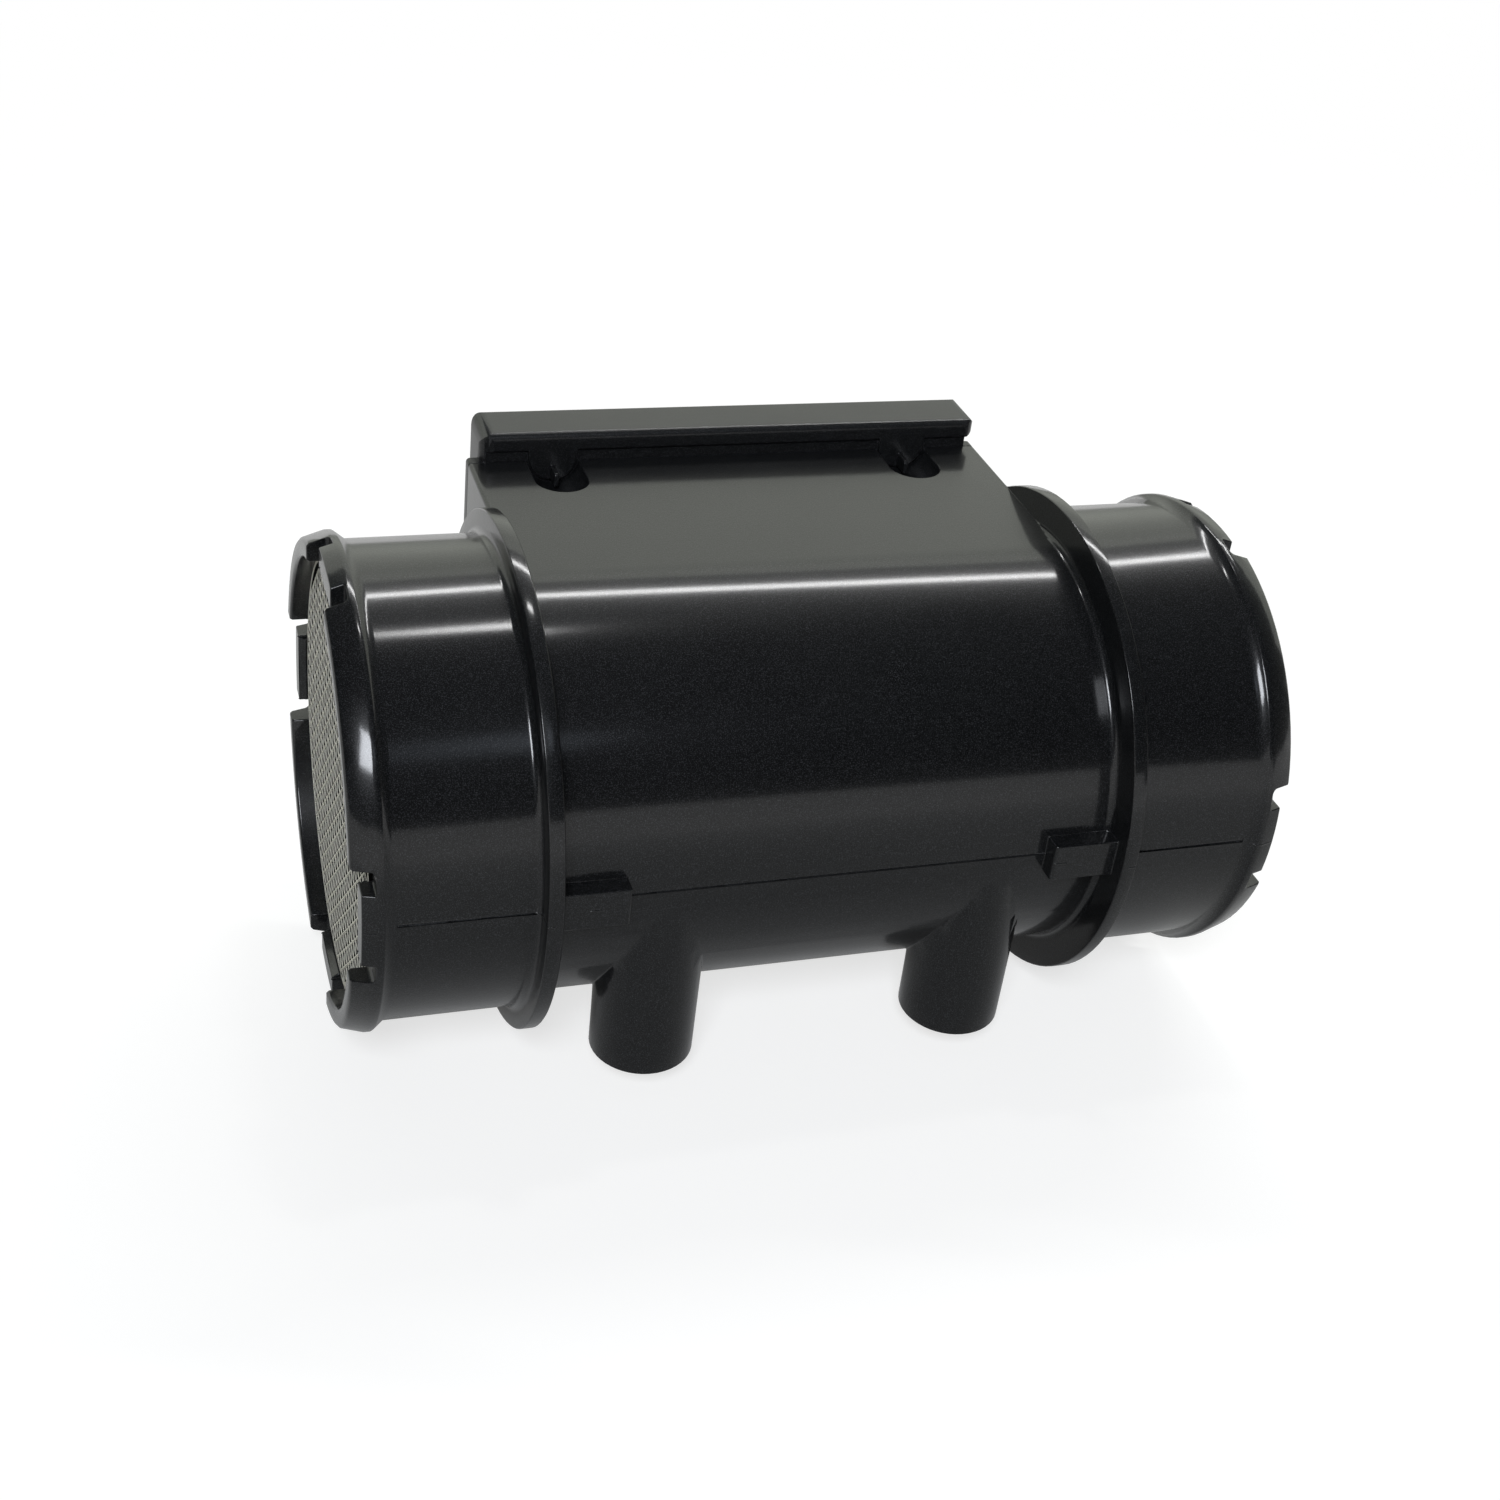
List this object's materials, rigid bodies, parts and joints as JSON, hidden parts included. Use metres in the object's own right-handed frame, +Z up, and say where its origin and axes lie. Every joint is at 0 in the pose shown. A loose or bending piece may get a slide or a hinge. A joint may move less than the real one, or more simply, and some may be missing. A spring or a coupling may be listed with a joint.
{
  "type": "mass air flow sensor",
  "caption": "Black moulded air duct with a flow straightener at the inlet, flanged hose spigots, a side module with cover and plug socket, and threaded mounting legs.",
  "frame": {"origin": "midway between the two threaded leg inserts, on the end faces of the legs", "axes": "+X along the air tube from inlet to outlet, -Y to the front with the moulded lugs, +Y to the module cover and its plug socket, +Z up from the legs to the tube"},
  "size_m": [0.1808, 0.1266, 0.1],
  "materials": {
    "moulded_black_plastic": "semi-gloss moulded, glass-filled",
    "straightener_foil": "plain rolled foil",
    "screen_steel": "plain drawn",
    "cover_black_plastic": "semi-gloss moulded, glass-filled",
    "seal_rubber": "matt",
    "terminal_brass": "bright tinned",
    "plate_aluminium": "plain rolled",
    "screw_steel": "zinc plated",
    "board_ceramic": "solder-masked",
    "chip_moulding": "matt moulded",
    "chip_ceramic": "matt ceramic",
    "bridge_plastic": "matt moulded",
    "film_ceramic": "glazed alumina",
    "insert_brass": "turned"
  },
  "bodies": {
    "root": {"tube_body": "moulded_black_plastic", "inlet_straightener_band": "straightener_foil", "inlet_flat_strips": "straightener_foil", "inlet_corrugated_strips": "straightener_foil", "outlet_screen_ring": "screen_steel", "outlet_screen_level_wires": "screen_steel", "outlet_screen_upright_wires": "screen_steel", "module_cover": "cover_black_plastic", "cover_seal": "seal_rubber", "connector_terminals": "terminal_brass", "base_plate": "plate_aluminium", "base_plate_screws": "screw_steel", "circuit_board": "board_ceramic", "control_chip": "chip_moulding", "driver_chip": "chip_moulding", "chip_capacitors": "chip_ceramic", "chip_resistors": "chip_moulding", "sensing_bridge": "bridge_plastic", "bridge_gasket": "seal_rubber", "hot_film_plate": "film_ceramic", "air_temperature_chip": "film_ceramic", "sensor_leads": "terminal_brass", "leg_inserts": "insert_brass"}
  },
  "joints": []
}
